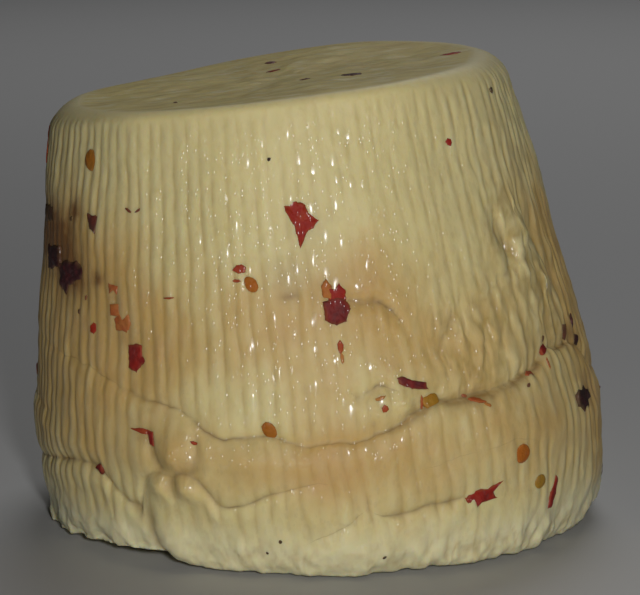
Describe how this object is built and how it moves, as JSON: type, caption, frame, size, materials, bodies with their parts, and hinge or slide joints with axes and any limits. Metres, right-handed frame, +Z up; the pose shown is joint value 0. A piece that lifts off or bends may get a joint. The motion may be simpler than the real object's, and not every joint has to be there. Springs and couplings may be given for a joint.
{
  "type": "ricotta salata cheese",
  "caption": "Whole ricotta salata: a leaning, slumped drum of ivory cheese with basket ribs, wandering curd seams, a lobed foot and chilli flakes and seeds in its skin.",
  "frame": {"origin": "centre of the cheese's bounding box, on the surface that it stands on", "axes": "+Z up, -Y out of the side that shows its chilli flakes best, +X towards the high side of the sloping top; the cheese leans towards -X"},
  "size_m": [0.1255, 0.125, 0.1009],
  "materials": {
    "cheese": "moist ivory curd, semi-gloss, paler on the ribs and yellower between them",
    "chilli_flake": "thin dried chilli skin, dark red to orange, moist gloss",
    "chilli_seed": "flat chilli seeds, orange to straw yellow, satin"
  },
  "bodies": {
    "root": {"ricotta_salata": "cheese"}
  },
  "joints": []
}
